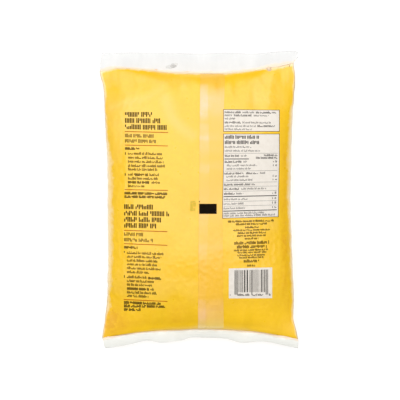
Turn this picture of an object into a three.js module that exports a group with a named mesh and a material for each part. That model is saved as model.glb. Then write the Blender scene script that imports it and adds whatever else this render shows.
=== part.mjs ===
// A shut pillow bag of dried split beans, lying on its front with its back up.
// Millimetres. X runs across the bag, Y towards its top seal, and Z = 0 is what it rests on.
import * as THREE from 'three';
import { mergeVertices } from 'three/addons/utils/BufferGeometryUtils.js';

// Driving dimensions
const filledHeight = 40;      // from the resting face to the top of the filled middle
const rimHeight = 16;         // the widest line of the long sides
const sealHeight = 13;        // where the flat end seals stand out from the filling
const sealDroop = 2.5;        // how far the free edge of a seal hangs below its root
const filmEdge = 0.8;         // the two films together, where they lie flat on each other

const endReach = 98;          // length over which the filling swells behind each seal
const cornerReach = 60;       // length over which the flat corners turn into round sides
const endPower = 0.5;         // bluntness of the swelling along the bag: 0.5 is an ellipse
const sidePower = 0.5;        // the same across the filled middle
const cornerPower = 1.15;     // and beside a seal, where the section is a thin lens
const undersideSwell = 1.36;  // how far past the floor the underside would bulge, if it could
const restBlend = 1.6;        // soft start of the flat resting face

const seamRaise = 0.9;        // the lap seam's extra film, over the back
const seamFrom = 0;           // its crisp edge and its soft edge, as parts of the half width
const seamTo = 0.255;
const seamCrisp = 0.006;      // half the width of the crisp step, and of the soft one
const seamSoft = 0.012;
const seamFade = 9;           // length over which it sinks into each end seal

const gatherDepth = 2.1;      // the puckers that run into each end seal
const gatherPeak = 9;         // how far from the seal they are deepest
const gatherReach = 24;       // and over what length they fade
const gatherBelow = 0.6;      // share of them on the underside
const gatherWaves = [33, 21, 14];
const lumpDepth = 0.8;        // the low unevenness of the filling
const lumpWavesAcross = [83, 47];
const lumpWavesAlong = [97, 59];
const bandRipple = 1.1;       // the waves in the flat seals
const bandWaves = [71, 43, 27];

// Soft folds of the back, each along a line: raised, or with a height below zero hollow
const softFolds = [
  { from: [-86, 90], to: [-52, 97], width: 9, height: 1.1 },
  { from: [46, 112], to: [42, 82], width: 8, height: 1 },
  { from: [66, 108], to: [64, 80], width: 7, height: 0.9 },
  { from: [-24, -96], to: [-30, -114], width: 9, height: -1.2 },
  { from: [26, -100], to: [22, -116], width: 8, height: -1 },
];

const acrossSteps = 36;
const bodySteps = 46;
const bandSteps = 3;
const evenRows = 0.45;        // share of even spacing in the rows, the rest crowds to the ends

// The long sides: how far the left and the right one reach at each place along the bag
const sidePlaces = [-138, -130, -126, -110, -90, -60, 0, 40, 80, 104, 117, 126.5, 132, 138];
const leftReach = [-88, -89.7, -91.6, -88.8, -87, -86, -86, -86.2, -89.4, -89.8, -92.4, -92.4, -92, -91];
const rightReach = [91, 91, 90.7, 87.5, 87.5, 86, 84.3, 84.6, 86, 87.8, 87.9, 86.6, 90.6, 91.6];

// The ends: the free edge and the root of each seal, from the left side (-1) to the right (1)
const bottomEdgePlaces = [-1, -0.92, -0.74, -0.55, -0.42, -0.2, -0.1, 0.02, 0.26, 0.4, 0.64, 0.8, 1];
const bottomEdge = [-135.2, -136.9, -134.2, -130.5, -132.3, -130.6, -127.8, -127.7, -128.8, -132.3, -131.5,
  -134, -137.8];
const rootPlaces = [-1, -0.85, -0.55, -0.25, 0, 0.3, 0.6, 0.85, 1];
const bottomRoot = [-128.6, -125.6, -122, -120.6, -119.6, -120.4, -122.4, -126.2, -129];
const topRoot = [119.2, 122.1, 121, 118.2, 117.5, 117.6, 120.6, 123.6, 126.8];
const topEdgePlaces = [-1, -0.7, -0.3, 0, 0.3, 0.55, 0.78, 0.94, 1];
const topEdge = [136.4, 137, 136.6, 135.9, 136.9, 135.8, 137.9, 138.6, 137.6];

const { lerp, smoothstep } = THREE.MathUtils;

// A smooth curve through values given at a few places
function through(places, values) {
  const curve = new THREE.CubicInterpolant(places, values, 1, new Float32Array(1));
  return (at) => curve.evaluate(at)[0];
}

const leftAt = through(sidePlaces, leftReach);
const rightAt = through(sidePlaces, rightReach);
const bottomEdgeAt = through(bottomEdgePlaces, bottomEdge);
const bottomRootAt = through(rootPlaces, bottomRoot);
const topRootAt = through(rootPlaces, topRoot);
const topEdgeAt = through(topEdgePlaces, topEdge);

// Waves of unlike lengths added up, between -1 and 1, for folds that don't repeat
function waves(at, lengths, shift) {
  const turns = lengths.map((length, i) => Math.sin((2 * Math.PI * at) / length + shift * (i + 1)));
  return turns.reduce((sum, turn) => sum + turn, 0) / lengths.length;
}

// Columns across the bag, closer together towards the round sides, with the seam's edges added
function columnsAcross() {
  const seamColumns = [seamFrom - seamCrisp, seamFrom + seamCrisp, seamTo - seamSoft, seamTo + seamSoft];
  const even = Array.from({ length: acrossSteps + 1 }, (_, i) => Math.sin(Math.PI * (i / acrossSteps - 0.5)));
  const clear = even.filter((at) => seamColumns.every((seam) => Math.abs(at - seam) > seamSoft));
  return [...clear, ...seamColumns].sort((a, b) => a - b);
}

// Rows along the bag: each is a seal (-1 at the bottom, 1 at the top) or the filling (0),
// and a share of the way along it
function rowsAlong() {
  const rows = [];
  for (let i = 0; i < bandSteps; i += 1) {
    rows.push({ zone: -1, share: i / bandSteps });
  }
  for (let i = 0; i <= bodySteps; i += 1) {
    const even = i / bodySteps;
    const crowded = 0.5 - 0.5 * Math.cos(Math.PI * even);
    rows.push({ zone: 0, share: lerp(crowded, even, evenRows) });
  }
  for (let i = 1; i <= bandSteps; i += 1) {
    rows.push({ zone: 1, share: i / bandSteps });
  }
  return rows;
}

// The flat line in which both films meet, at a place across and along the bag
function filmLine(across, { zone, share }) {
  const ends = {
    '-1': [bottomEdgeAt(across), bottomRootAt(across)],
    0: [bottomRootAt(across), topRootAt(across)],
    1: [topRootAt(across), topEdgeAt(across)],
  }[zone];
  const y = lerp(ends[0], ends[1], share);
  const x = lerp(leftAt(y), rightAt(y), (across + 1) / 2);
  const out = zone < 0 ? 1 - share : share;
  const ripple = bandRipple * waves(x, bandWaves, zone + 2);
  return new THREE.Vector3(x, y, sealHeight + ripple - (zone === 0 ? 0 : sealDroop * out ** 2));
}

// How far the filling swells at a given distance behind a seal, from 0 to 1
function swell(fromSeal) {
  const left = Math.max(0, 1 - fromSeal / endReach);
  return (1 - left ** 2) ** endPower;
}

// How high the soft folds stand at one place of the back
function foldsAt(point) {
  const flat = new THREE.Vector3(point.x, point.y, 0);
  const near = new THREE.Vector3();
  return softFolds.reduce((sum, { from, to, width, height }) => {
    const line = new THREE.Line3(new THREE.Vector3(...from), new THREE.Vector3(...to));
    const away = line.closestPointToPoint(flat, true, near).distanceTo(flat);
    return sum + height * Math.exp(-((away / width) ** 2));
  }, 0);
}

// A value that is held at zero, with a soft start
function heldAtZero(value) {
  if (value <= -restBlend) return 0;
  if (value >= restBlend) return value;
  return (value + restBlend) ** 2 / (4 * restBlend);
}

// Where one vertex of the bag lies: on its back or on its underside
function place(across, row, onBack) {
  const point = filmLine(across, row);
  const half = onBack ? filmEdge / 2 : -filmEdge / 2;
  if (row.zone !== 0) {
    point.z += half;
    return point;
  }

  const fromBottom = point.y - bottomRootAt(across);
  const fromTop = topRootAt(across) - point.y;
  const fromSeal = Math.min(fromBottom, fromTop);
  const filled = swell(fromBottom) * swell(fromTop);
  const round = smoothstep(fromSeal, 0, cornerReach);
  const section = Math.max(0, 1 - across ** 2) ** lerp(cornerPower, sidePower, round);

  const gatherShift = fromBottom < fromTop ? 0.7 : 2.9;
  const gatherShape = (fromSeal / gatherPeak) * Math.exp(1 - fromSeal / gatherPeak);
  const gatherFade = 1 - smoothstep(fromSeal, gatherPeak, gatherPeak + gatherReach);
  const gather = gatherDepth * waves(point.x, gatherWaves, gatherShift) * gatherShape * gatherFade;
  const lump = lumpDepth * waves(point.x, lumpWavesAcross, 1.3) * waves(point.y, lumpWavesAlong, 0.4);

  const rim = lerp(point.z, rimHeight, filled);
  if (!onBack) {
    const drop = rimHeight * undersideSwell * filled * section;
    point.z = heldAtZero(rim - drop + half + gather * section * gatherBelow);
    return point;
  }
  const seamSides = smoothstep(across, seamFrom - seamCrisp, seamFrom + seamCrisp)
    * (1 - smoothstep(across, seamTo - seamSoft, seamTo + seamSoft));
  const seam = seamRaise * seamSides * smoothstep(fromSeal, 0, seamFade);
  const rise = (filledHeight - rimHeight) * filled * section;
  const relief = gather + lump * round + foldsAt(point);
  point.z = rim + rise + half + relief * section + seam;
  return point;
}

// The closed bag: a block of many faces whose every vertex is moved to its place
function bagGeometry() {
  const columns = columnsAcross();
  const rows = rowsAlong();
  const acrossFaces = columns.length - 1;
  const alongFaces = rows.length - 1;
  const block = new THREE.BoxGeometry(1, 1, 1, acrossFaces, alongFaces, 1);
  block.deleteAttribute('normal');
  block.deleteAttribute('uv');
  const skin = mergeVertices(block, 1e-4);
  const position = skin.getAttribute('position');
  for (let i = 0; i < position.count; i += 1) {
    const column = Math.round((position.getX(i) + 0.5) * acrossFaces);
    const row = Math.round((position.getY(i) + 0.5) * alongFaces);
    const point = place(columns[column], rows[row], position.getZ(i) > 0);
    position.setXYZ(i, point.x, point.y, point.z);
  }
  skin.computeVertexNormals();
  return skin;
}

const bag = new THREE.Mesh(
  bagGeometry(),
  new THREE.MeshStandardMaterial({ color: 0xf7c433, roughness: 0.35, metalness: 0 }),
);
bag.name = 'bag';

// The origin is below the middle of the bag's box, on the resting face
const box = new THREE.Box3().setFromObject(bag);
bag.position.set(-(box.min.x + box.max.x) / 2, -(box.min.y + box.max.y) / 2, -box.min.z);

const group = new THREE.Group();
group.add(bag);

export default group;
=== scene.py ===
import math
import random
from bisect import bisect_right

import bmesh
import bpy
from mathutils import Matrix, Vector, noise
from mathutils.bvhtree import BVHTree


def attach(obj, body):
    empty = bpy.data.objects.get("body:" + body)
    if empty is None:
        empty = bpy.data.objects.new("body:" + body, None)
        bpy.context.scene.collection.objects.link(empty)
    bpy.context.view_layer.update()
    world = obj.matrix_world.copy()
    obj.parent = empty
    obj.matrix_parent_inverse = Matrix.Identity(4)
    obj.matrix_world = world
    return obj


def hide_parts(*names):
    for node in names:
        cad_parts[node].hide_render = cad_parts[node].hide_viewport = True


# A shut bag of dried split beans lying on its front, its back up: +Y is its top, +Z looks out of its back.
# Sizes are in millimetres and become metres where a mesh is finished.
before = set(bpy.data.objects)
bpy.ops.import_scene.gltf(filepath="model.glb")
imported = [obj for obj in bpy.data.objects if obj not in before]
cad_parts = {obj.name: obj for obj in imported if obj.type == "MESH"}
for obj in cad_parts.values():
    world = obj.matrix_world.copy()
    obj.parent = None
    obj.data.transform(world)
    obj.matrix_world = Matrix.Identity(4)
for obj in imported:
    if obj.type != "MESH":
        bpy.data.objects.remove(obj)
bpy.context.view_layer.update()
mm = 0.001
print("frame loaded")

# the size of the bag and how it fills, as the solid has them
form = {
    "filledHeight": 40,  # resting face to the top of the filling
    "rimHeight": 16,  # widest line of the long sides
    "sealHeight": 13,  # where the end seals stand out
    "sealDroop": 2.5,  # how far their free edge hangs
    "endReach": 98,  # the filling swells over this length
    "cornerReach": 60,  # flat corners turn round over this length
    "endPower": 0.5,
    "sidePower": 0.5,
    "cornerPower": 1.15,
    "undersideSwell": 1.36,
    "restBlend": 1.6,
    "gatherDepth": 1.1,  # puckers behind each end seal
    "gatherPeak": 9,
    "gatherReach": 24,
    "gatherBelow": 0.6,
    "gatherWaves": (33, 21, 14),
    "gatherShifts": (0.7, 2.9),  # of their waves, at the bottom and at the top seal
    "lumpDepth": 0.8,
    "lumpAcross": ((83, 47), 1.3),  # its waves and their shift
    "lumpAlong": ((97, 59), 0.4),
    "bandRipple": 1.1,
    "bandWaves": (71, 43, 27),
}

# reach of the long sides, and the root and free edge of each end seal
sidePlaces = (-138, -130, -126, -110, -90, -60, 0, 40, 80, 104, 117, 126.5, 132, 138)
leftReach = (-88.1, -89.8, -90.2, -87.7, -85.9, -84.8, -85, -85.6, -88.4, -89.2, -92.4, -92.4, -92, -91)
rightReach = (91, 91, 90.1, 86.8, 86.5, 85.5, 83.8, 84.3, 85.7, 87.3, 87.9, 86.6, 90.6, 91.6)
bottomEdgePlaces = (-1, -0.92, -0.74, -0.55, -0.42, -0.2, -0.1, 0.02, 0.26, 0.4, 0.64, 0.8, 1)
bottomEdge = (-137.2, -136.9, -134.2, -130.5, -132.3, -130.6, -127.8, -127.7, -128.8, -132.3, -131.5,
              -134, -137.8)
rootPlaces = (-1, -0.85, -0.55, -0.25, 0, 0.3, 0.6, 0.85, 1)
bottomRoot = (-128.6, -125.6, -122, -120.6, -119.6, -120.4, -122.4, -126.2, -129)
topRoot = (119.2, 122.1, 121, 118.2, 117.5, 117.6, 120.6, 123.6, 126.8)
topEdgePlaces = (-1, -0.7, -0.3, 0, 0.3, 0.55, 0.78, 0.94, 1)
topEdge = (136.4, 137, 136.6, 135.9, 136.9, 135.8, 137.9, 138.6, 137.6)

# soft folds of the back: from, to, width and height, hollow where the height is below zero
softFolds = (
    ((-86, 90), (-52, 97), 9, 1.1),
    ((46, 112), (42, 82), 8, 1),
    ((66, 108), (64, 80), 7, 0.9),
    ((-24, -96), (-30, -114), 9, -1.2),
    ((26, -100), (22, -116), 8, -1),
)


def lerp(a, b, share):
    return a + (b - a) * share


def smoothstep(value, low, high):
    share = min(1.0, max(0.0, (value - low) / (high - low)))
    return share * share * (3 - 2 * share)


def through(places, values):  # a smooth curve through a few values
    last = len(places) - 1
    slopes = []
    for k in range(last + 1):
        a, b = max(0, k - 1), min(last, k + 1)
        slopes.append((values[b] - values[a]) / (places[b] - places[a]))

    def at(where):
        k = min(last - 1, max(0, bisect_right(places, where) - 1))
        span = places[k + 1] - places[k]
        u = min(1.0, max(0.0, (where - places[k]) / span))
        near = values[k] * (1 + 2 * u) + slopes[k] * span * u
        far = values[k + 1] * (3 - 2 * u) - slopes[k + 1] * span * (1 - u)
        return near * (1 - u) ** 2 + far * u * u

    return at


def crowded(place, evenShare=0.15):  # from -1 to 1, closer together at both ends
    return lerp(math.sin(math.pi / 2 * place), place, evenShare)


def waves(where, lengths, shift):  # waves of unlike lengths, between -1 and 1
    turns = [math.sin(2 * math.pi * where / size + shift * (i + 1)) for i, size in enumerate(lengths)]
    return sum(turns) / len(turns)


leftAt, rightAt = through(sidePlaces, leftReach), through(sidePlaces, rightReach)
bottomEdgeAt = through(bottomEdgePlaces, bottomEdge)
topEdgeAt = through(topEdgePlaces, topEdge)
bottomRootAt, topRootAt = through(rootPlaces, bottomRoot), through(rootPlaces, topRoot)
edgeSteps = 50  # places looked at along each half of an end
edgeXs = [at(y) for at in (leftAt, rightAt) for y in range(sidePlaces[0], sidePlaces[-1] + 1)]
edgeYs = [at(a / edgeSteps) for at in (bottomEdgeAt, topEdgeAt) for a in range(-edgeSteps, edgeSteps + 1)]
bagShift = Vector((-(min(edgeXs) + max(edgeXs)) / 2, -(min(edgeYs) + max(edgeYs)) / 2, 0))
placeInFrame = Matrix.Diagonal((mm, mm, mm, 1)) @ Matrix.Translation(bagShift)


def filmLine(across, zone, share):  # the flat line in which both films meet
    ends = {
        -1: (bottomEdgeAt, bottomRootAt),
        0: (bottomRootAt, topRootAt),
        1: (topRootAt, topEdgeAt),
    }[zone]
    y = lerp(ends[0](across), ends[1](across), share)
    x = lerp(leftAt(y), rightAt(y), (across + 1) / 2)
    out = 1 - share if zone < 0 else share
    ripple = form["bandRipple"] * waves(x, form["bandWaves"], zone + 2)
    droop = 0 if zone == 0 else form["sealDroop"] * out ** 2
    return Vector((x, y, form["sealHeight"] + ripple - droop))


def swell(fromSeal):
    left = min(1.0, max(0.0, 1 - fromSeal / form["endReach"]))
    return (1 - left ** 2) ** form["endPower"]


def heldAtZero(value):
    blend = form["restBlend"]
    if value <= -blend:
        return 0.0
    return value if value >= blend else (value + blend) ** 2 / (4 * blend)


def awayFrom(x, y, start, end):  # distance to the line between two places
    dx, dy = end[0] - start[0], end[1] - start[1]
    share = min(1.0, max(0.0, ((x - start[0]) * dx + (y - start[1]) * dy) / (dx * dx + dy * dy)))
    return math.hypot(x - start[0] - dx * share, y - start[1] - dy * share)


def foldsAt(x, y):
    return sum(height * math.exp(-((awayFrom(x, y, start, end) / width) ** 2))
               for start, end, width, height in softFolds)


def filledPoint(across, share, onBack):  # a point of the filled part, and its distance to a seal
    point = filmLine(across, 0, share)
    fromBottom = point.y - bottomRootAt(across)
    fromTop = topRootAt(across) - point.y
    fromSeal = max(0.0, min(fromBottom, fromTop))
    filled = swell(fromBottom) * swell(fromTop)
    roundness = smoothstep(fromSeal, 0, form["cornerReach"])
    power = lerp(form["cornerPower"], form["sidePower"], roundness)
    section = max(0.0, 1 - across ** 2) ** power
    peak = form["gatherPeak"]
    shape = (fromSeal / peak) * math.exp(1 - fromSeal / peak)
    shape *= 1 - smoothstep(fromSeal, peak, peak + form["gatherReach"])
    shift = form["gatherShifts"][0 if fromBottom < fromTop else 1]
    gather = form["gatherDepth"] * waves(point.x, form["gatherWaves"], shift) * shape
    rim = lerp(point.z, form["rimHeight"], filled)
    if not onBack:
        drop = form["rimHeight"] * form["undersideSwell"] * filled * section
        point.z = heldAtZero(rim - drop + gather * section * form["gatherBelow"])
        return point, fromSeal
    lump = form["lumpDepth"] * waves(point.x, *form["lumpAcross"]) * waves(point.y, *form["lumpAlong"])
    rise = (form["filledHeight"] - form["rimHeight"]) * filled * section
    relief = gather + lump * roundness + foldsAt(point.x, point.y)
    point.z = rim + rise + relief * section
    return point, fromSeal


# every material is built by these helpers
def newMaterial(name, roughness, **sockets):
    material = bpy.data.materials.new(name)
    material.use_nodes = True
    shader = material.node_tree.nodes["Principled BSDF"]
    shader.inputs["Roughness"].default_value = roughness
    for socket, value in sockets.items():
        shader.inputs[socket.replace("_", " ")].default_value = value
    return material, material.node_tree, shader


def addNode(tree, kind, inputs, **settings):  # inputs are linked to a node's output, or else set
    node = tree.nodes.new(kind)
    for key, value in settings.items():
        setattr(node, key, value)
    for key, value in inputs.items():
        if isinstance(value, bpy.types.NodeSocket):
            tree.links.new(value, node.inputs[key])
        else:
            node.inputs[key].default_value = value
    return node


def linear(red, green, blue):  # screen colour, 0 to 255, as a shader takes it
    tones = []
    for tone in (red, green, blue):
        tone /= 255
        tones.append(tone / 12.92 if tone <= 0.04045 else ((tone + 0.055) / 1.055) ** 2.4)
    return (*tones, 1.0)


def noiseAt(tree, scale, detail=3.0, roughness=0.6, stretch=(1, 1, 1)):
    place = addNode(tree, "ShaderNodeTexCoord", {})
    turn = addNode(tree, "ShaderNodeMapping", {"Vector": place.outputs["Object"], "Scale": stretch})
    made = addNode(tree, "ShaderNodeTexNoise",
                   {"Vector": turn.outputs[0], "Scale": scale, "Detail": detail, "Roughness": roughness})
    return made.outputs["Fac"]


def spread(tree, source, low, high, lowTo=0.0, highTo=1.0):
    made = addNode(tree, "ShaderNodeMapRange", {
        "Value": source, "From Min": low, "From Max": high, "To Min": lowTo, "To Max": highTo})
    return made.outputs[0]


grainRange, cloudRange = (0.3, 0.7), (0.35, 0.65)  # parts of a noise that are spread out, fine or broad


def grainAt(tree, scale, lowTo, highTo):  # uneven between two values, at one scale
    return spread(tree, noiseAt(tree, scale), *grainRange, lowTo, highTo)


def combine(tree, first, second, operation="MULTIPLY"):
    return addNode(tree, "ShaderNodeMath", {0: first, 1: second}, operation=operation).outputs[0]


def attributeAt(tree, name):
    return addNode(tree, "ShaderNodeAttribute", {}, attribute_name=name).outputs["Fac"]


def mix(tree, share, first, second):
    return addNode(tree, "ShaderNodeMix", {0: share, 6: first, 7: second}, data_type="RGBA").outputs[2]


def bumpFrom(tree, shader, scale, strength, distance, detail=2.0, roughness=0.5, stretch=(1, 1, 1)):
    height = noiseAt(tree, scale, detail, roughness, stretch)
    bump = addNode(tree, "ShaderNodeBump", {"Height": height, "Strength": strength, "Distance": distance})
    tree.links.new(bump.outputs[0], shader.inputs["Normal"])


def addToScene(name, data):
    made = bpy.data.objects.new(name, data)
    bpy.context.scene.collection.objects.link(made)
    return made


def newLayers(bm, *names):  # values kept at each vertex, which the materials read
    for name in names:
        bm.verts.layers.float.new(name)
    return [bm.verts.layers.float[name] for name in names]


def gridVerts(bm, facesAcross, facesAlong, size):
    return bmesh.ops.create_grid(bm, x_segments=facesAcross, y_segments=facesAlong, size=size)["verts"]


def addMesh(name, bm, material, smooth=True):
    mesh = bpy.data.meshes.new(name)
    bm.to_mesh(mesh)
    bm.free()
    mesh.polygons.foreach_set("use_smooth", [smooth] * len(mesh.polygons))
    mesh.materials.append(material)
    return addToScene(name, mesh)


def addPiece(name, bm, material, slot, smooth=True):  # a finished mesh becomes a piece of the bag
    bmesh.ops.transform(bm, matrix=placeInFrame, verts=bm.verts)
    piece = addMesh(name, bm, material, smooth)
    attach(piece, "root")
    return piece


# places in the photograph: 400 pixels across 370 mm, its middle over the bag's own origin
photo = {
    "pixels": 400,
    "width": 370,  # mm across the frame, at the height of the bag's widest line
    "lens": 150,
    "sensor": 36,
}
mmPerPixel = photo["width"] / photo["pixels"]
eye = Vector((0, 0, photo["width"] * photo["lens"] / photo["sensor"] + form["rimHeight"]))


def photoPlace(px, py):
    return (px - photo["pixels"] / 2) * mmPerPixel, (photo["pixels"] / 2 - py) * mmPerPixel


def photoSpot(x, y):
    return x / mmPerPixel + photo["pixels"] / 2, photo["pixels"] / 2 - y / mmPerPixel


# printed film round the beans: the whole filled part, closed
film = {
    "faces": (212, 212),
    "evenColumns": 0.45,  # share of even spacing, the rest crowds to the rims
    "evenRows": 0.6,
    "joinBelow": 0.004,  # mm, the back and the underside join where they are nearer
    "inset": 0.2,  # mm by which it lies inside its form
    "yellow": linear(243, 195, 14),
    "gold": linear(240, 187, 6),
    "deep": linear(229, 169, 0),
    "edge": linear(192, 142, 24),
    "cream": linear(250, 228, 182),
    "rimWidth": (0.008, 0.058),  # the pale rim, a painted sheen where the side turns and partly the film's whitened fold, fades over this part of the half width
    "rimBelow": 0.4,  # its width on the underside, as a share
    "rimPaleness": 0.9,
    "leftRim": ((72, 92, 112, 140, 160, 285, 298, 307, 316, 330),
                (0.6, 0.55, 0.35, 0.5, 1.1, 1, 0.6, 1, 0.35, 0.25)),
    "rightRim": ((72, 102, 112, 130, 180, 225, 320, 330), (0.4, 0.4, 0.75, 0.95, 0.9, 0.6, 0.45, 0.3)),
    "edgeWidth": (0.001, 0.014),  # a thin shade at the very edge, as a part of the half width
    "leftShade": ((72, 145, 165, 278, 290, 332), (0.45, 0.45, 0.08, 0.12, 0.45, 0.45)),
    "rightShade": ((72, 100, 110, 125, 285, 300, 332), (0.5, 0.55, 0.1, 0.25, 0.15, 0.4, 0.55)),
    "borderWidth": (0.6, 2.2),  # the pale border beside a seal, mm: partly the print's edge, partly a painted highlight where the film folds into the seal
    "borderEnds": ((106, 118, 262, 276), 0.5),  # it widens at the top seal's ends
    "lowerBorder": 0.2,  # and is narrower at the bottom seal
    "coat": ((72, 235, 255, 300, 316, 332), (0.4, 0.4, 0.24, 0.22, 0.04, 0.1)),  # gloss, by rows
    "lit": linear(255, 204, 12),  # painted light: the film beside the bottom seal painted brighter over the shade of its steep slope
    "litWidth": (2.5, 9),
    "litSides": (0.55, 0.9),  # it fades towards the sides
    "ragged": (130, 0.65, 1.45),  # noises: waves to the metre, lowest and highest value
    "grain": (330, -0.25, 0.45),
    "gloss": (90, 0.27, 0.36),
    "mottle": (190, 3, 0.65),  # and here scale, detail and roughness
    "mottleTo": (-0.4, -1.6),
    "broad": (22, 4),
    "broadTo": (0, 0.7),
    "bump": (420, 0.2, 0.0004, 3, 0.55),  # scale, strength, depth in metres, detail and roughness
}

# relief of the film: depths and sizes in mm, sides as shares of the half width, ends in mm from a seal
surface = {
    "beanSize": 4.6,  # one split bean pressing through the film
    "beanRound": 0.62,  # reach of its round, as a share of its size
    "beanDepth": 0.38,
    "press": (0.4, 0.3, 0.4),  # how hard they press: at least, more at the sides, more low down
    "pressSides": (0.5, 0.95),
    "pressLow": (-60, 120),  # mm below the middle
    "slackCorner": 0.75,  # and how much less in the corners
    "cornerSides": (0.68, 0.9),
    "cornerEnds": (22, 46),
    "airEnds": (4, 22),  # only air lies beside the seals
    "patches": (0.75, 0.5, 31),  # least share, spread and size of harder and softer patches
    "creaseDepth": 0.16,  # fine creases behind the seals
    "creaseSize": (7, 30),
    "creaseEnds": (6, 34),
    "crinkleDepth": 0.4,  # fine folds along the rim
    "crinkleSize": (40, 7.5, 9),
    "crinkleSides": 0.07,
    "softDepth": 0.55,  # low unevenness
    "softSize": 24,
    "fades": {"crease": 5, "crinkle": 8, "soft": 12},  # each starts this far from the seal
    "innerSeam": -6.9,  # the faint line of the inner film's edge, mm from the middle
    "innerSeamWidth": 1.1,
    "innerSeamDepth": 0.16,
}

# where the film is broadly paler, or deeper below zero: middle and reach in pixels of the photograph
toneSpots = (
    ((130, 116), (26, 22), 0.12), ((264, 100), (18, 10), 0.08), ((270, 224), (8, 8), 0.09),
    ((180, 84), (12, 8), 0.06), ((108, 322), (16, 14), -0.75), ((177, 316), (8, 15), -0.35),
    ((134, 326), (34, 9), -0.2), ((188, 205), (40, 55), -0.13), ((112, 170), (9, 110), 0.05),
    ((205, 331), (50, 6), 0.1), ((106, 104), (6, 14), 0.06), ((160, 286), (55, 16), 0.08),
    ((112, 80), (18, 8), -0.25), ((112, 314), (9, 12), -0.3),
)
# and where it is painted a brighter yellow, as painted light
litSpots = (((250, 315), (32, 12), 0.6),)
# painted shade: a deeper gold stripe down the right side where it turns from the light, by rows of the
# photograph
paintedShadeStripe = {
    "column": ((120, 160, 200, 235, 270, 300, 326), (284, 284, 283.5, 284, 284.5, 287, 291)),
    "width": ((120, 200, 240, 300, 326), (2.4, 2.4, 3, 3.8, 2.4)),
    "depth": ((112, 122, 140, 150, 163, 174, 186, 205, 222, 236, 250, 262, 284, 300, 320, 334),
              (0, 0.1, 0.15, 0.6, 0.6, 0.2, 0.4, 0.55, 0.45, 0.8, 0.75, 0.5, 0.45, 0.35, 0.3, 0)),
    "patches": (0.9, 0.3, 5, 9),  # least share, spread, size across and along
}
stripeColumnAt, stripeWidthAt, stripeDepthAt = [
    through(*paintedShadeStripe[key]) for key in ("column", "width", "depth")]

# where the taut film catches the light: pixels of the photograph, width, height in mm, and paleness, a
# painted highlight
foldHighlights = (
    (((166, 100), (169, 110), (174, 121), (181, 130), (192, 137)), 6.5, 0.35, 0.14),
    (((112, 108), (130, 103), (150, 98), (162, 89)), 4, 0.3, 0.07),
    (((108, 81), (150, 79), (194, 83)), 4, 0, 0.05),
    (((252, 102), (257, 86), (266, 79), (276, 84), (281, 104)), 5, 0.2, 0.05),
    (((118, 126), (121, 142), (118, 158)), 6, 0.2, 0.05),
)
# fine slanting ripples between the left column and the seam, in the same pixels; their paleness is a
# painted sheen on the crests
ripples = {
    "spot": ((178, 165), (20, 50), 1),
    "length": 17,
    "crest": 158,
    "slant": 0.5,
    "height": 0.13,  # mm
    "paleness": 0.025,
}


def spotsAt(spots, px, py):  # soft round fields added up at one place of the photograph
    return sum(amount * math.exp(-(((px - mx) / rx) ** 2) - ((py - my) / ry) ** 2)
               for (mx, my), (rx, ry), amount in spots)


def foldedAt(x, y):  # how high the folds stand at one place, and the paleness painted there: tone spots, painted shade and painted highlights
    px, py = photoSpot(x, y)
    height, paleness = 0.0, spotsAt(toneSpots, px, py)
    fromStripe = (px - stripeColumnAt(py)) / stripeWidthAt(py)
    least, most, across, along = paintedShadeStripe["patches"]
    patchy = least + most * noise.noise(Vector((px / across, py / along, 2)))
    paleness -= stripeDepthAt(py) * patchy * math.exp(-(fromStripe ** 2))
    for spots, width, rise, pale in foldHighlights:
        away = min(awayFrom(px, py, a, b) for a, b in zip(spots, spots[1:]))
        near = math.exp(-((away / width) ** 2))
        height += rise * near
        paleness += pale * near
    inside = spotsAt((ripples["spot"],), px, py)
    fromMiddle = px - ripples["spot"][0][0]
    phase = (py - ripples["slant"] * fromMiddle - ripples["crest"]) / ripples["length"]
    wave = inside * math.cos(2 * math.pi * phase)
    return height + ripples["height"] * wave, paleness + ripples["paleness"] * (wave + inside)


def beanBumps(point):
    size = surface["beanSize"]
    near = noise.voronoi(Vector((point.x / size, point.y / size, point.z / size)))[0]
    return 1 - min(1.0, near[0] / surface["beanRound"]) ** 2


def ridges(value):  # sharp crests between soft hollows
    return 1 - 2 * abs(value)


def filmRelief(point, across, fromSeal, onBack):
    rimNear = 1 - smoothstep(1 - abs(across), 0.0, surface["crinkleSides"])
    sealNear = 1 - smoothstep(fromSeal, *surface["creaseEnds"])
    started = {name: smoothstep(fromSeal, 0, far) for name, far in surface["fades"].items()}
    everywhere, atSides, atLowEnd = surface["press"]
    press = everywhere + atSides * smoothstep(abs(across), *surface["pressSides"])
    press += atLowEnd * smoothstep(-point.y, *surface["pressLow"])
    cornerNear = 1 - smoothstep(fromSeal, *surface["cornerEnds"])
    press *= 1 - surface["slackCorner"] * smoothstep(abs(across), *surface["cornerSides"]) * cornerNear
    looseAir = smoothstep(fromSeal, *surface["airEnds"])
    least, most, size = surface["patches"]
    patchy = least + most * noise.noise(point / size)
    beans = surface["beanDepth"] * press * looseAir * patchy * beanBumps(point)
    sizeAcross, sizeAlong = surface["creaseSize"]
    run = Vector((point.x / sizeAcross, point.y / sizeAlong, 3.1 if onBack else 8.7))
    crease = surface["creaseDepth"] * sealNear * ridges(noise.noise(run)) * started["crease"]
    side = Vector([place / size for place, size in zip(point, surface["crinkleSize"])])
    crinkle = surface["crinkleDepth"] * rimNear * noise.noise(side) * started["crinkle"]
    size = surface["softSize"]
    soft = surface["softDepth"] * noise.noise(Vector((point.x / size, point.y / size, 1.7)))
    fromInner = (point.x - surface["innerSeam"]) / surface["innerSeamWidth"]
    inner = math.exp(-(fromInner ** 2)) if onBack else 0.0
    inner *= surface["innerSeamDepth"] * looseAir
    return beans + crease + crinkle + soft * started["soft"] + inner


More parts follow.
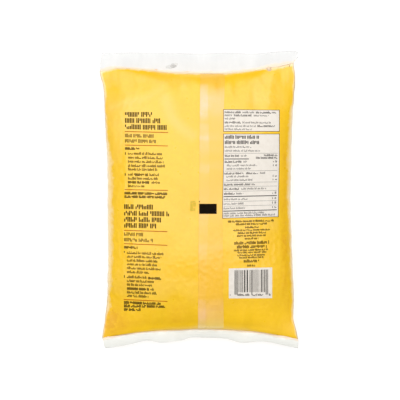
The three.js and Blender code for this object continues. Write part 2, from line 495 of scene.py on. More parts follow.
def borderScale(point):  # how wide the pale border beside the seal is, compared with its middle
    if point.y < 0:
        return film["lowerBorder"]
    (leftEnd, leftFull, rightFull, rightEnd), extra = film["borderEnds"]
    px = photoSpot(point.x, point.y)[0]
    atEnds = 1 - smoothstep(px, leftEnd, leftFull) + smoothstep(px, rightFull, rightEnd)
    return 1 + extra * atEnds


leftRimAt, rightRimAt, leftShadeAt, rightShadeAt, coatAt = [
    through(*film[key]) for key in ("leftRim", "rightRim", "leftShade", "rightShade", "coat")]


def makeFilm():
    bm = bmesh.new()
    sealAway, borderAway, rimAway, paleness, lit, edgeShade, coat = newLayers(
        bm, "fromSeal", "fromBorder", "fromRim", "paleness", "lit", "edgeShade", "coat")
    for onBack in (True, False):
        for vert in gridVerts(bm, *film["faces"], 1):
            u = min(1.0, max(-1.0, vert.co.x))
            v = min(1.0, max(0.0, (vert.co.y + 1) / 2))
            across = crowded(u, film["evenColumns"])
            share = lerp(0.5 - 0.5 * math.cos(math.pi * v), v, film["evenRows"])
            vert.co, fromSeal = filledPoint(across, share, onBack)
            px, py = photoSpot(vert.co.x, vert.co.y)
            vert[sealAway] = fromSeal
            vert[coat] = coatAt(py)
            vert[borderAway] = fromSeal / borderScale(vert.co)
            rimAt, shadeAt = (leftRimAt, leftShadeAt) if across < 0 else (rightRimAt, rightShadeAt)
            fromSide = 1 - abs(across)
            vert[rimAway] = fromSide / rimAt(py) / (1 if onBack else film["rimBelow"])
            vert[edgeShade] = shadeAt(py) * (1 - smoothstep(fromSide, *film["edgeWidth"]))
            # painted light beside the bottom seal and at the spots where the film is painted brighter
            if vert.co.y < 0:
                besideSeal = 1 - smoothstep(fromSeal, *film["litWidth"])
                besideSeal *= 1 - smoothstep(abs(across), *film["litSides"])
                vert[lit] = max(besideSeal, spotsAt(litSpots, px, py))
            vert.tag = onBack
    bmesh.ops.remove_doubles(bm, verts=bm.verts, dist=film["joinBelow"])
    bmesh.ops.recalc_face_normals(bm, faces=bm.faces)
    bm.normal_update()
    moves = []
    for vert in bm.verts:
        left, right = leftAt(vert.co.y), rightAt(vert.co.y)
        across = min(1.0, max(-1.0, (vert.co.x - (left + right) / 2) / ((right - left) / 2)))
        amount = filmRelief(vert.co, across, vert[sealAway], vert.tag)
        if vert.tag:
            folded, vert[paleness] = foldedAt(vert.co.x, vert.co.y)
            amount += folded
        moves.append(vert.co + vert.normal * (amount - film["inset"]))
    for vert, moved in zip(bm.verts, moves):
        vert.co = Vector((moved.x, moved.y, max(0.0, moved.z)))
    return bm


def filmTone(tree):  # the film's yellow, faintly uneven
    broad = spread(tree, noiseAt(tree, *film["broad"]), *cloudRange, *film["broadTo"])
    share = combine(tree, broad, grainAt(tree, *film["grain"]), "ADD")
    return mix(tree, share, film["yellow"], film["gold"])


def filmSurface(tree, shader):  # its haze and fine grain
    tree.links.new(grainAt(tree, *film["gloss"]), shader.inputs["Roughness"])
    bumpFrom(tree, shader, *film["bump"])


def filmMaterial():
    material, tree, shader = newMaterial("yellowFilm", roughness=0.32, Coat_Roughness=0.2)
    tree.links.new(attributeAt(tree, "coat"), shader.inputs["Coat Weight"])
    ragged = grainAt(tree, *film["ragged"])
    # paleness: painted highlights, the painted shade stripe and tone spots; cream above zero, deep below
    paleness = attributeAt(tree, "paleness")
    mottled = spread(tree, noiseAt(tree, *film["mottle"]), *cloudRange, *film["mottleTo"])
    deepShare = combine(tree, paleness, mottled)
    toned = mix(tree, deepShare, filmTone(tree), film["deep"])
    # painted light: the film beside the bottom seal is painted brighter
    toned = mix(tree, attributeAt(tree, "lit"), toned, film["lit"])
    toned = mix(tree, paleness, toned, film["cream"])
    # pale rim and border: partly painted sheen and highlight, partly the film's whitened fold and the
    # print's edge
    for place, width in (("fromRim", "rimWidth"), ("fromBorder", "borderWidth")):
        away = combine(tree, attributeAt(tree, place), ragged)
        share = spread(tree, away, *film[width], film["rimPaleness"], 0.0)
        toned = mix(tree, share, toned, film["cream"])
        if place == "fromRim":
            toned = mix(tree, attributeAt(tree, "edgeShade"), toned, film["edge"])
    tree.links.new(toned, shader.inputs["Base Color"])
    filmSurface(tree, shader)
    return material


filmBm = makeFilm()
laidOn = [BVHTree.FromBMesh(filmBm)]  # what later layers are laid on
filmPiece = addPiece("printedFilm", filmBm, filmMaterial(), "printed_film")
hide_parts("bag")
print("film made:", len(filmPiece.data.polygons), "faces")


# clear end seals: both films pressed flat, with fine sealing ribs
seal = {
    "faces": (170, 16),
    "thickness": 0.3,
    "tuck": 0.1,  # share of its height that starts inside the printed film
    "ribPitch": 2.4,
    "ribDepth": 0.1,
    "wrinkle": 0.5,  # depth of the wrinkles, most in the outer half
    "wrinkleAtRoot": 0.3,
    "wrinkleSize": (8, 30),
    # painted light: the bottom seal is given a whiter tint and a less see-through film than the top one,
    # to make up for the shade it lies in
    "tints": {
        1: (linear(231, 231, 230), linear(224, 224, 223)),
        -1: (linear(251, 251, 245), linear(247, 247, 240)),
    },
    "alphas": {1: 0.6, -1: 0.85},
    "cloudScale": 60,
    "ragged": (150, 0.7, 1.4),
    "bump": (300, 0.2, 0.0003),
    "lip": linear(250, 226, 196),
    "lipWidth": (0.9, 1.9),  # the pale rim of the printed film inside each seal, mm, partly painted light over the shade where film and seal meet
    "lipPaleness": 0.9,
    "lipScales": {  # how much wider it gets, by column of the photograph
        1: ((96, 104, 118, 150, 205, 250, 266, 280, 295), (1.7, 1.6, 1.1, 0.9, 1.2, 1.4, 2.0, 2.4, 2.2)),
        -1: ((96, 120, 160, 220, 260, 295), (1.2, 1.1, 0.7, 0.8, 1.2, 1.3)),
    },
}


def sealMaterial(name, zone):
    material, tree, shader = newMaterial(name, roughness=0.2, Alpha=seal["alphas"][zone], Coat_Weight=0.4,
                                         Coat_Roughness=0.1)
    clouds = noiseAt(tree, seal["cloudScale"], stretch=(1, 0.3, 1))
    tint = mix(tree, spread(tree, clouds, *cloudRange), *seal["tints"][zone])
    ragged = grainAt(tree, *seal["ragged"])
    fromRoot = combine(tree, attributeAt(tree, "fromRoot"), ragged)
    lipShare = spread(tree, fromRoot, *seal["lipWidth"], seal["lipPaleness"], 0.0)
    tree.links.new(mix(tree, lipShare, tint, seal["lip"]), shader.inputs["Base Color"])
    bumpFrom(tree, shader, *seal["bump"], stretch=(1, 3, 1))
    return material


def makeSeal(zone):
    bm = bmesh.new()
    rootAway = bm.verts.layers.float.new("fromRoot")
    rootAt, lipScaleAt = topRootAt if zone > 0 else bottomRootAt, through(*seal["lipScales"][zone])
    tuck = seal["tuck"]
    sizeAcross, sizeAlong = seal["wrinkleSize"]
    for vert in gridVerts(bm, *seal["faces"], 1):
        across = crowded(vert.co.x)
        share = (crowded(vert.co.y) + 1) / 2
        share = lerp(-tuck, 1, share) if zone > 0 else lerp(0, 1 + tuck, share)
        point = filmLine(across, zone, share)
        out = share if zone > 0 else 1 - share
        rib = math.sin(2 * math.pi * point.y / seal["ribPitch"])
        wrinkle = noise.noise(Vector((point.x / sizeAcross, point.y / sizeAlong, 5.0 + zone)))
        wrinkle *= seal["wrinkleAtRoot"] + smoothstep(out, 0, 0.5)
        point.z += seal["ribDepth"] * rib + seal["wrinkle"] * wrinkle
        fromRoot = max(0.0, zone * (point.y - rootAt(across)))
        vert[rootAway] = fromRoot / lipScaleAt(photoSpot(point.x, point.y)[0])
        vert.co = point
    bmesh.ops.recalc_face_normals(bm, faces=bm.faces)
    bmesh.ops.solidify(bm, geom=bm.faces[:], thickness=seal["thickness"])
    return bm


for zone, name in ((1, "clearSealTop"), (-1, "clearSealBottom")):
    sealBm = makeSeal(zone)
    laidOn.append(BVHTree.FromBMesh(sealBm))
    addPiece(name, sealBm, sealMaterial(name + "Film", zone), "clear_film")
print("end seals made")


# what lies on the film is set along the photograph's line of sight, on the highest layer below it
def onFilm(x, y, lift):
    aim = Vector((x, y, form["rimHeight"])) - eye
    hits = [tree.ray_cast(eye, aim)[0] for tree in laidOn]
    found = [hit for hit in hits if hit is not None]
    if not found:
        raise ValueError(f"no film below {x:.1f}, {y:.1f}")
    return max(found, key=lambda hit: hit.z) + Vector((0, 0, lift))


# lap seam: the outer film's edge over the inner one, a welded band beside the edge
seam = {
    "top": 73.7,  # its ends and edges, in pixels of the photograph
    "bottom": 328.5,
    "left": ((73, 200, 320, 330), (200.3, 199, 198, 197.9)),
    "right": ((73, 140, 200, 320, 330), (225, 223.2, 222.6, 223.6, 223.6)),
    "faces": (30, 236),
    "lift": 0.16,
    "edgeLift": 0.3,  # the free edge stands a little off
    "edgeStray": (0.25, 9),  # and wavers by so many pixels, over so many
    "rightDrop": 0.13,  # the other edge sinks into the film
    "rightDropFrom": 0.88,
    "endFade": 0.03,  # it lies down at both ends over this share
    "thickness": 0.3,
    "weldDepth": 0.1,
    "weldEnd": ((73, 110, 160, 200, 240, 300, 330), (0.3, 0.34, 0.42, 0.42, 0.37, 0.3, 0.3)),
    "weldSoftness": 0.03,  # both as shares of the width
    "weldStray": (0.02, 6),
    "patches": (90, 0.7, 1.3),
    "yellow": linear(241, 185, 27),
    "gold": linear(237, 186, 56),
    "goldEnds": (82.5, 86.5, 0.9, 0),  # from one row to another, and its share at both
    "pale": linear(249, 207, 171),
    "shade": linear(249, 204, 86),
    # painted light: the seam's lower end painted brighter over the shade of its steep slope
    "lit": linear(255, 226, 120),
    "litEnds": (317, 328, 0, 0.7),
    "shadePlace": (311, 0.36, 0.4),  # the darker field of its tail: first row, first share across, depth
}

# painted highlight on the seam, row by row: in its welded band, and beside it; the values from row 299
# down give the seam's real paler tail
seamSheenAndTail = (
    (73, 0.1, 0.1), (76, 0.02, 0.02), (83, 0, 0), (86, 0.3, 0.05), (90, 0.44, 0.17), (94, 0.52, 0.27),
    (98, 0.62, 0.36), (103, 0.68, 0.35), (108, 0.64, 0.3), (114, 0.6, 0.22), (118, 0.32, 0.14),
    (122, 0.14, 0.12), (126, 0.32, 0.11), (134, 0.32, 0.13), (138, 0.52, 0.15), (142, 0.28, 0.09),
    (150, 0.25, 0.09), (158, 0.1, 0.03), (162, 0.11, 0.08), (167, 0.26, 0.1), (171, 0.25, 0.06),
    (175, 0.1, 0.05), (190, 0.11, 0.08), (214, 0.2, 0.08), (224, 0.15, 0.01), (236, 0.07, 0.01),
    (242, 0.1, 0.04), (248, 0.2, 0.08), (254, 0.15, 0.02), (260, 0.06, 0), (270, 0.03, 0),
    (286, 0.04, 0), (296, 0.07, 0.02), (299, 0.1, 0.05), (300.5, 0.3, 0.12), (306, 0.37, 0.22),
    (312, 0.45, 0.27), (320, 0.48, 0.3), (325.5, 0.52, 0.32), (328, 0.85, 0.6), (330, 0.9, 0.7),
)


def makeSeam():
    bm = bmesh.new()
    acrossSeam, alongSeam, sheenAndTail = newLayers(bm, "acrossSeam", "alongSeam", "sheenAndTail")
    leftEdge, rightEdge, weldEndAt = [through(*seam[key]) for key in ("left", "right", "weldEnd")]
    rows, weldSheenAndTail, bodySheenAndTail = zip(*seamSheenAndTail)
    weldSheenAndTailAt, bodySheenAndTailAt = through(rows, weldSheenAndTail), through(rows, bodySheenAndTail)
    soft, fade = seam["weldSoftness"], seam["endFade"]
    (edgeStray, edgePitch), (weldStray, weldPitch) = seam["edgeStray"], seam["weldStray"]
    for vert in gridVerts(bm, *seam["faces"], 0.5):
        u, v = crowded(2 * vert.co.x) / 2 + 0.5, vert.co.y + 0.5
        py = lerp(seam["bottom"], seam["top"], v)
        stray = edgeStray * noise.noise(Vector((py / edgePitch, 4.2, 0))) * (1 - u)
        px = lerp(leftEdge(py), rightEdge(py), u) + stray
        endFade = smoothstep(v, 0, fade) * smoothstep(1 - v, 0, fade)
        weldEnd = weldEndAt(py) + weldStray * noise.noise(Vector((py / weldPitch, 9.1, 0)))
        weld = 1 - smoothstep(u, weldEnd - soft, weldEnd + soft)
        lift = seam["lift"] + seam["edgeLift"] * (1 - u) ** 3 * endFade
        drop = seam["rightDrop"] * smoothstep(u, seam["rightDropFrom"], 1)
        lift += seam["weldDepth"] * weld * endFade - drop
        vert.co = onFilm(*photoPlace(px, py), lift)
        vert[acrossSeam] = u
        vert[alongSeam] = py
        vert[sheenAndTail] = lerp(bodySheenAndTailAt(py), weldSheenAndTailAt(py), weld)
    bmesh.ops.solidify(bm, geom=bm.faces[:], thickness=seam["thickness"])
    return bm


def seamMaterial():
    material, tree, shader = newMaterial("seamFilm", roughness=0.32, Coat_Weight=0.4, Coat_Roughness=0.2)
    along = attributeAt(tree, "alongSeam")
    firstRow, firstAcross, depth = seam["shadePlace"]
    soft = seam["weldSoftness"]
    goldShare = spread(tree, along, *seam["goldEnds"])
    plain = mix(tree, goldShare, seam["yellow"], seam["gold"])
    shadeAlong = spread(tree, along, firstRow - 1, firstRow + 1, 0.0, depth)
    shadeAcross = spread(tree, attributeAt(tree, "acrossSeam"), firstAcross - soft, firstAcross + soft)
    shadeShare = combine(tree, shadeAlong, shadeAcross)
    patchy = grainAt(tree, *seam["patches"])
    # painted highlight along the seam, and its real paler tail
    sheenAndTailShare = combine(tree, attributeAt(tree, "sheenAndTail"), patchy)
    withSheenAndTail = mix(tree, sheenAndTailShare, plain, seam["pale"])
    shaded = mix(tree, shadeShare, withSheenAndTail, seam["shade"])
    litShare = spread(tree, along, *seam["litEnds"])
    tree.links.new(mix(tree, litShare, shaded, seam["lit"]), shader.inputs["Base Color"])
    filmSurface(tree, shader)
    return material


seamBm = makeSeam()
laidOn.append(BVHTree.FromBMesh(seamBm))
addPiece("lapSeam", seamBm, seamMaterial(), "printed_film")
print("lap seam made")


# Print. Its layout is in pixels of the photograph, straight, and the folds then tilt it.
printed = {
    "step": 1.1,  # mm between the points that follow the film
    "thickness": 0.1,
    "lift": 0.14,  # of the top of one printed layer above the film
    "inPanel": 1.6,  # so many times higher lies what is printed on a panel
    "leftSlope": ((112, 130, 150, 215, 245, 290, 301, 310), (0, 0.022, 0.02, 0.02, 0.04, 0.042, 0.045, 0)),
    "rightSlope": ((109, 133, 153, 171, 196, 218, 268, 298),
                   (0.01, 0, 0, -0.014, -0.02, -0.029, -0.026, -0.004)),
    "leftMiddle": 146,
    "rightMiddle": 251,
    "seamPlace": 211,  # the left column is left of this, the right one right of it
    "panelPull": (150, 217, 1.1),  # the folds draw the panels' lower end to the left
    "pullEnd": (218.5, 221),
    "grainScale": 260,
    "grainRange": (0.4, 0.75),
    "bump": (500, 0.1, 0.0003),
}
inPanel = printed["inPanel"]
leftSlopeAt, rightSlopeAt = through(*printed["leftSlope"]), through(*printed["rightSlope"])


def settled(px, py):
    if px < printed["seamPlace"]:
        return px, py + leftSlopeAt(py) * (px - printed["leftMiddle"])
    start, end, pull = printed["panelPull"]
    draw = pull * smoothstep(py, start, end) * (1 - smoothstep(py, *printed["pullEnd"]))
    return px - draw, py + rightSlopeAt(py) * (px - printed["rightMiddle"])


def layPatch(bm, left, top, right, bottom, layer=1, straight=False):
    wide, tall = (right - left) * mmPerPixel, (bottom - top) * mmPerPixel
    facesAcross, facesAlong = [max(1, math.ceil(length / printed["step"])) for length in (wide, tall)]
    for vert in gridVerts(bm, facesAcross, facesAlong, 0.5):
        u, v = vert.co.x + 0.5, vert.co.y + 0.5
        px, py = lerp(left, right, u), lerp(bottom, top, v)
        if not straight:
            px, py = settled(px, py)
        vert.co = onFilm(*photoPlace(px, py), printed["lift"] * layer)


def layRule(bm, start, end, row, width, layer=1):  # its width is in mm
    half = width / 2 / mmPerPixel
    layPatch(bm, start, row - half, end, row + half, layer)


def finishPrint(name, bm, material, slot):
    bmesh.ops.solidify(bm, geom=bm.faces[:], thickness=printed["thickness"])
    return addPiece(name, bm, material, slot, smooth=False)


def inkMaterial(name, tone, worn, shine=0.12):  # print ink, faintly mottled, hardly glossy
    material, tree, shader = newMaterial(name, roughness=0.6, Specular_IOR_Level=shine)
    share = spread(tree, noiseAt(tree, printed["grainScale"]), *printed["grainRange"])
    tree.links.new(mix(tree, share, linear(*tone), linear(*worn)), shader.inputs["Base Color"])
    bumpFrom(tree, shader, *printed["bump"])
    return material


brownInk = inkMaterial("brownInk", (46, 34, 8), (72, 54, 12))
blackInk = inkMaterial("blackInk", (32, 28, 25), (52, 46, 42))
eyeInk = inkMaterial("eyeInk", (14, 8, 2), (30, 19, 8), shine=0.04)
orangeInk = inkMaterial("orangeInk", (178, 92, 10), (192, 106, 18))
oliveInk = inkMaterial("oliveInk", (210, 178, 62), (224, 186, 50))
panelWhite = inkMaterial("panelWhite", (230, 223, 213), (224, 216, 205))

# Lines of print become rows of upright bars and small blocks, each apart from the next, that form no
# letters; the larger lines have bars only. Each style has the heights of its tall and short marks, their
# stroke, their pitch and the gap between groups, all in mm, and the fewest and most marks of a group.
lineStyles = {
    "heading": (4.6, 4.4, 0.98, 1.5, 1.5, (6, 11)), "subheading": (3.4, 3.2, 0.6, 1.12, 1.1, (6, 12)),
    "small": (2.6, 1.9, 0.47, 0.76, 0.7, (3, 11)), "bold": (2.5, 2.3, 0.7, 0.94, 0.7, (4, 12)),
    "title": (3.4, 2.9, 0.78, 1.24, 1.1, (6, 10)), "panel": (1.9, 1.4, 0.32, 0.68, 0.7, (3, 10)),
    "panelBold": (2, 1.6, 0.48, 0.78, 0.6, (4, 12)), "fine": (1.9, 1.5, 0.46, 0.74, 0.6, (3, 12)),
    "fineBold": (2, 1.7, 0.54, 0.82, 0.6, (4, 12)), "slogan": (3, 2.4, 0.62, 0.96, 0.9, (8, 15)),
}
barsOnly = ("heading", "subheading", "title", "slogan")
markShares = {"bar": 0.72, "halfBar": 0.14, "tallBar": 0.3, "low": 0.5, "halfHeight": (0.5, 0.75),
              "blockHeight": 0.5}


def layLine(bm, style, row, start, end, chance, layer=1):
    *sizes, groupSize = lineStyles[style]
    tall, short, stroke, pitch, gap = [size / mmPerPixel for size in sizes]
    foot, head = row + short / 2, row - short / 2
    at = start
    while at < end - stroke:
        for _ in range(chance.randint(*groupSize)):
            if at > end - stroke:
                break
            kind = chance.random()
            top = foot - tall if chance.random() < markShares["tallBar"] else head
            low = chance.random() < markShares["low"]
            if kind < markShares["bar"]:
                layPatch(bm, at, top, at + stroke, foot, layer)
                at += pitch
            elif style in barsOnly or kind < markShares["bar"] + markShares["halfBar"]:
                half = (foot - head) * chance.uniform(*markShares["halfHeight"])
                barTop, barFoot = (foot - half, foot) if low else (head, head + half)
                layPatch(bm, at, barTop, at + stroke, barFoot, layer)
                at += pitch
            else:
                width, height = min(pitch, end - at), short * markShares["blockHeight"]
                blockTop = foot - height if low else head + (short - height) / 2
                layPatch(bm, at, blockTop, at + width, blockTop + height, layer)
                at += width + pitch - stroke
        at += gap


# the left column: style by style the row, first and last column of each line; "rule" is an orange rule
leftLines = (
    ("heading", (114.5, 125, 153), (120.8, 125, 161), (127.2, 125, 167)), ("rule", (132, 124.8, 168.2)),
    ("subheading", (136, 125, 154), (141.3, 125, 157)), ("rule", (145.5, 124.8, 168)),
    ("bold", (148.9, 125, 139.5), (153.9, 125, 126.3)),
    ("small", (153.9, 128, 163), (158, 128, 163), (162, 128, 163.5), (166.1, 128, 165), (169.8, 128, 158)),
    ("bold", (174.8, 124.8, 126.4)), ("small", (174.9, 128, 133)), ("bold", (174.9, 134, 148)),
    ("small", (174.9, 149.5, 159), (178.8, 128, 159)), ("bold", (182.5, 128, 150)),
    ("small", (182.6, 151.5, 160), (186.4, 128, 144.5)), ("rule", (190, 124.5, 168)),
    ("bold", (193.5, 124.5, 168), (197, 124.5, 166)),
    ("heading", (207, 124.2, 154.5), (213.5, 124.2, 169.6), (219.7, 124.2, 162), (225.8, 124.2, 157.5)),
    ("rule", (231, 124, 167.4)), ("subheading", (234.8, 124.2, 143), (240.4, 124.2, 153)),
    ("rule", (244.5, 124, 167.4)), ("bold", (248.1, 124.2, 138), (253.2, 124, 125.3)),
    ("small", (253.6, 127, 164), (257.3, 127, 162), (261.2, 127, 158), (265, 127, 157), (268.9, 127, 161),
     (272.8, 127, 149)), ("bold", (277.4, 124, 125.5)), ("small", (277.8, 127, 147)),
    ("bold", (278, 148.2, 162)), ("small", (281.7, 127, 155), (285.5, 127, 152)),
    ("bold", (289.3, 127, 149)), ("small", (289.4, 150.5, 154), (293.2, 127, 157), (296.8, 127, 149)),
    ("rule", (300.5, 123.8, 167.4)), ("bold", (303.3, 124, 161), (306.4, 124, 165), (309.7, 124, 141)),
)
ruleWidth = 0.72  # mm

chance = random.Random(11)
leftBm, ruleBm = bmesh.new(), bmesh.new()
for style, *lines in leftLines:
    for row, start, end in lines:
        if style == "rule":
            layRule(ruleBm, start, end, row, ruleWidth)
        else:
            layLine(leftBm, style, row, start, end, chance)
finishPrint("leftPrint", leftBm, brownInk, "ink_dark")
finishPrint("orangeRules", ruleBm, orangeInk, "ink_orange")
print("left column laid")

# the right column: two framed white panels, lines and rules in them, and centred lines below
panel = {
    "panels": ((223.4, 109.6, 279.6, 131.6), (223.4, 133.7, 279.6, 217.7)),
    "frame": 0.42,  # mm, the line round each panel
    "thinRule": 0.2,
    "thinRuleEnds": (224.8, 277.6),
    "thickRule": 0.75,
    "rightMarks": ((273.2, 274.3), (275.6, 277.4)),
}
panelLines = (
    ("panelBold", (112.5, 224.8, 241)), ("panel", (112.5, 242.5, 255)), ("panelBold", (112.6, 256, 276.5)),
    ("panel", (115.6, 224.8, 232.5)), ("panelBold", (115.6, 234, 252)),
    ("panel", (115.6, 253.8, 268.6), (118.9, 224.8, 235.4)), ("panelBold", (122.7, 224.8, 241)),
    ("panel", (122.7, 242.5, 271), (126.2, 224.8, 256)), ("panelBold", (126.1, 257.5, 275)),
    ("panel", (129.3, 224.8, 252)), ("title", (137.2, 224.9, 259), (142.5, 224.9, 260)),
    ("panel", (147.1, 224.9, 251.8), (150.9, 224.9, 260.2)), ("panelBold", (155.9, 225, 239)),
    ("panel", (155.9, 241, 247)),
    ("panelBold", (155.3, 264, 277.4), (158, 256, 277.4), (161.8, 224.8, 242)),
    ("panel", (161.8, 243.5, 247.4), (165.4, 227, 257), (168.7, 227, 251)),
    ("panelBold", (173.3, 224.8, 244), (173.3, 246.5, 259)),
    ("panel", (173.3, 260.5, 265.5), (176.4, 226.8, 249.3), (180, 226.8, 253)),
    ("panelBold", (184.4, 224.8, 251)), ("panel", (184.4, 252, 256)), ("panelBold", (188.8, 224.8, 240)),
    ("panel", (188.8, 242, 267)), ("panelBold", (193.5, 224.8, 235.5)),
    ("panel", (193.5, 237, 244.6), (198.9, 224.8, 249), (203.5, 224.8, 244.6), (207.9, 224.8, 246),
     (212.9, 224.8, 266), (215.3, 224.8, 276.5)),
)
panelRightMarks = (161.8, 165.5, 176.4, 179.8, 193.3, 198.6, 203.3, 207.7)
panelThinRules = (153.3, 170.8, 182.3, 186.4, 191.0, 201.1, 205.6)
panelThickRules = ((158.9, 224.7, 248.8), (196.1, 224.4, 277.8), (210.5, 224.4, 277.8))

panelBm, inkBm, brownBm = bmesh.new(), bmesh.new(), bmesh.new()
for left, top, right, bottom in panel["panels"]:
    layPatch(panelBm, left, top, right, bottom)
    line = panel["frame"] / mmPerPixel
    innerTop, innerBottom = top + line, bottom - line
    for box in ((left, top, right, innerTop), (left, innerBottom, right, bottom),
                (left, innerTop, left + line, innerBottom), (right - line, innerTop, right, innerBottom)):
        layPatch(brownBm, *box, inPanel)
for row in panelThinRules:
    layRule(inkBm, *panel["thinRuleEnds"], row, panel["thinRule"], inPanel)
for row, start, end in panelThickRules:
    layRule(inkBm, start, end, row, panel["thickRule"], inPanel)
for style, *lines in panelLines:
    for row, start, end in lines:
        layLine(inkBm, style, row, start, end, chance, inPanel)
for row in panelRightMarks:
    for start, end in panel["rightMarks"]:
        layLine(inkBm, "panelBold", row, start, end, chance, inPanel)

# centred lines: the row, middle and half length of each
centredLines = (
    ("fineBold", (221.1, 251.2, 23.1), (224, 251.7, 15.9), (227.2, 252, 6.9)),
    ("fine", (230, 251.8, 18.4), (232.9, 251.8, 14), (235.7, 251.4, 14.4), (238.6, 251.7, 6.9)),
    ("slogan", (242.9, 251.7, 17.4), (246.8, 252, 15)),
    ("fine", (250, 251, 17.1), (252.4, 252, 14.5), (255.1, 251.2, 13.8), (257.5, 251.7, 12.4)),
    ("slogan", (261.1, 251.4, 7.6)), ("fine", (265.7, 251.4, 4.2)),
)
for style, *lines in centredLines:
    for row, middle, half in lines:
        layLine(brownBm, style, row, middle - half, middle + half, chance)
finishPrint("rightPrint", brownBm, brownInk, "ink_dark")
print("panels and right column laid")

# a bar code of chance widths, which encodes nothing, with a row of short marks below it
barCode = {
    "panel": (228.8, 267.9, 272.2, 298.3),
    "bars": (234.5, 268.4),
    "top": 269.9,
    "bottom": 292.2,
    "guardBottom": 294.6,
    "modules": 95,
    "guards": (10, 2),  # longer bars: so many modules at each end and beside the middle
    "darkWidths": (1, 1, 1, 2, 3),
    "paleWidths": (1, 2, 2, 3, 4),
    "marks": ((229.8, 231.2), (237.6, 249.6), (251.8, 264.4), (269, 270.4)),
    "markRow": 294.9,
}
layPatch(panelBm, *barCode["panel"])
(barStart, barEnd), modules = barCode["bars"], barCode["modules"]
module = (barEnd - barStart) / modules
endGuard, middleGuard = barCode["guards"]
barChance = random.Random(4)
at = 0
while at < modules:
    guard = at < endGuard or at > modules - endGuard or abs(at - modules / 2) < middleGuard
    dark = min(1 if guard else barChance.choice(barCode["darkWidths"]), modules - at)
    pale = 1 if guard else barChance.choice(barCode["paleWidths"])
    bottom = barCode["guardBottom" if guard else "bottom"]
    left = barStart + at * module
    layPatch(inkBm, left, barCode["top"], barStart + (at + dark) * module, bottom, inPanel)
    at += dark + pale
for start, end in barCode["marks"]:
    layLine(inkBm, "panelBold", barCode["markRow"], start, end, barChance, inPanel)
finishPrint("whitePanels", panelBm, panelWhite, "panel_white")
finishPrint("panelPrint", inkBm, blackInk, "ink_dark")
print("bar code laid")

# marks by the lap seam: the black eye mark and its dot, and the inner film's mark showing through
seamMarks = {
    "eyeMark": (((199.2, 203.8, 216.7, 213.9), (198.8, 201, 200, 202.2)), eyeInk, "ink_dark"),
    "ghostBlock": (((190.4, 201.2, 192.8, 203), (193, 200.8, 195.4, 202.4), (190.2, 203.4, 193, 211.2),
                    (193.2, 202.8, 196, 206.6), (193.4, 208.2, 195.4, 210.9)), oliveInk, "ink_olive"),
}
for name, (spots, ink, slot) in seamMarks.items():
    markBm = bmesh.new()
    for spot in spots:
        layPatch(markBm, *spot, straight=True)
    finishPrint(name, markBm, ink, slot)
print("seam marks laid")

# bits of bean and hull caught at the top seal: place, length, width and height in mm, turn, paleness
crumbs = (
    ((269.2, 69), 4.8, 3.9, 0.8, 10, 0.7), ((268.7, 68.2), 2.7, 2.1, 1.5, 10, 1),
    ((289.4, 66), 1.4, 0.8, 0.5, 70, 0.15), ((284.6, 67.6), 1.2, 0.6, 0.5, 30, 0.45),
    ((156.2, 69.4), 2.6, 0.7, 0.5, 8, 0.5), ((153, 68.7), 1.4, 0.5, 0.5, 20, 0.6),
    ((187.2, 71.4), 3.4, 0.6, 0.5, 3, 0.75),
)
crumb = {
    "lift": 0.2,  # of a crumb's middle above the film, as a share of its height
    "hull": (linear(168, 112, 62), linear(238, 216, 184)),
    "uneven": (0.35, 2.6),  # how uneven its outline is, and how often
    "grain": (700, 0.9, 1.05),
    "bump": (900, 0.3, 0.0002),
}
# a smudge of grey dust on the top seal: blots by place, length and width in mm, turn in degrees
dustSpots = (((171.2, 66.7), 10.4, 4.0, 6), ((174.0, 65.3), 6.8, 4.6, 18))
dust = {
    "tones": (linear(212, 206, 195), linear(196, 189, 176)),
    "alpha": 0.06,
    "grainScale": 500,
    "lift": 0.08,  # mm, so that both its faces lie above the seal
    "height": 0.04,
}


def hullMaterial():
    material, tree, shader = newMaterial("beanHull", roughness=0.7)
    share = combine(tree, attributeAt(tree, "paleness"), grainAt(tree, *crumb["grain"]))
    tree.links.new(mix(tree, share, *crumb["hull"]), shader.inputs["Base Color"])
    bumpFrom(tree, shader, *crumb["bump"])
    return material


def dustMaterial():
    material, tree, shader = newMaterial("greyDust", roughness=0.8, Alpha=dust["alpha"])
    share = spread(tree, noiseAt(tree, dust["grainScale"]), *cloudRange)
    tree.links.new(mix(tree, share, *dust["tones"]), shader.inputs["Base Color"])
    return material


def layBlot(bm, spot, long, wide, tall, turn, lift):  # an uneven crumb or blot that follows the film
    centre = Vector(photoPlace(*spot))
    turned = Matrix.Rotation(math.radians(turn), 2)
    most, often = crumb["uneven"]
    made = bmesh.ops.create_icosphere(bm, subdivisions=3, radius=0.5)["verts"]
    for vert in made:
        edge = 1 + most * noise.noise(vert.co * often + Vector((*spot, 0)))
        flat = Vector((vert.co.x * long, vert.co.y * wide)) * edge
        flat.rotate(turned)
        vert.co = onFilm(*(centre + flat), lift + vert.co.z * tall)
    return made


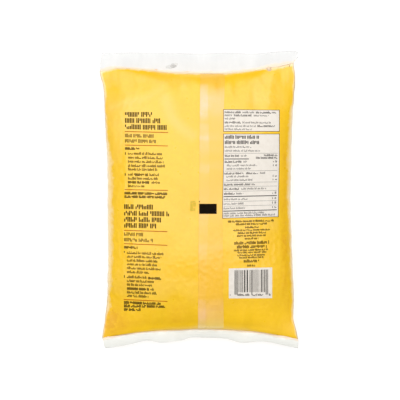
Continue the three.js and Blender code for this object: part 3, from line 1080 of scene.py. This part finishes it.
crumbBm, dustBm = bmesh.new(), bmesh.new()
crumbPale = crumbBm.verts.layers.float.new("paleness")
for spot, long, wide, tall, turn, pale in crumbs:
    for vert in layBlot(crumbBm, spot, long, wide, tall, turn, crumb["lift"] * tall):
        vert[crumbPale] = pale
for layer, (spot, long, wide, turn) in enumerate(dustSpots, 1):
    layBlot(dustBm, spot, long, wide, dust["height"], turn, dust["lift"] * layer)
addPiece("crumbs", crumbBm, hullMaterial(), "dust")
addPiece("greyDust", dustBm, dustMaterial(), "dust", smooth=False)
print("crumbs and dust laid")

# floor, light and camera
studio = {
    "floor": linear(160, 160, 160),
    "floorGlow": 0.7,  # lit from below as well, like a white light table
    "floorSize": 6,
    "skyDark": (0.2, 0.1),  # height in the sky, 0 to 1, and how bright it is up to there
    "skyBright": (0.8, 0.62),  # and from there up
    "softbox": (-0.32, 1.2, 2),  # its middle, in metres
    "softboxSize": (3, 3.6),
    "softboxPower": 65,
    "nearestSeen": 0.05,
}
floorBm = bmesh.new()
gridVerts(floorBm, 1, 1, studio["floorSize"])
floorMaterial = newMaterial("paleFloor", roughness=0.9, Base_Color=studio["floor"],
                            Emission_Color=(1, 1, 1, 1), Emission_Strength=studio["floorGlow"])[0]
addMesh("floor", floorBm, floorMaterial)

world = bpy.data.worlds.new("studio")
world.use_nodes = True
sky = world.node_tree
skyPlace = addNode(sky, "ShaderNodeTexCoord", {})
skyHeight = addNode(sky, "ShaderNodeSeparateXYZ", {"Vector": skyPlace.outputs["Generated"]})
(darkTo, dark), (brightFrom, bright) = studio["skyDark"], studio["skyBright"]
sky.nodes["Background"].inputs["Color"].default_value = (1, 1, 1, 1)
sky.links.new(spread(sky, skyHeight.outputs["Z"], darkTo, brightFrom, dark, bright),
              sky.nodes["Background"].inputs["Strength"])
bpy.context.scene.world = world

lightData = bpy.data.lights.new("softbox", "AREA")
lightData.shape = "RECTANGLE"
lightData.size, lightData.size_y = studio["softboxSize"]
lightData.energy = studio["softboxPower"]
addToScene("softbox", lightData).location = studio["softbox"]

cameraData = bpy.data.cameras.new("camera")
cameraData.lens = photo["lens"]
cameraData.sensor_width = photo["sensor"]
cameraData.clip_start = studio["nearestSeen"]
camera = addToScene("camera", cameraData)
camera.location = (eye + bagShift) * mm
bpy.context.scene.camera = camera
bpy.context.scene.view_settings.view_transform = "Standard"
print("studio made")
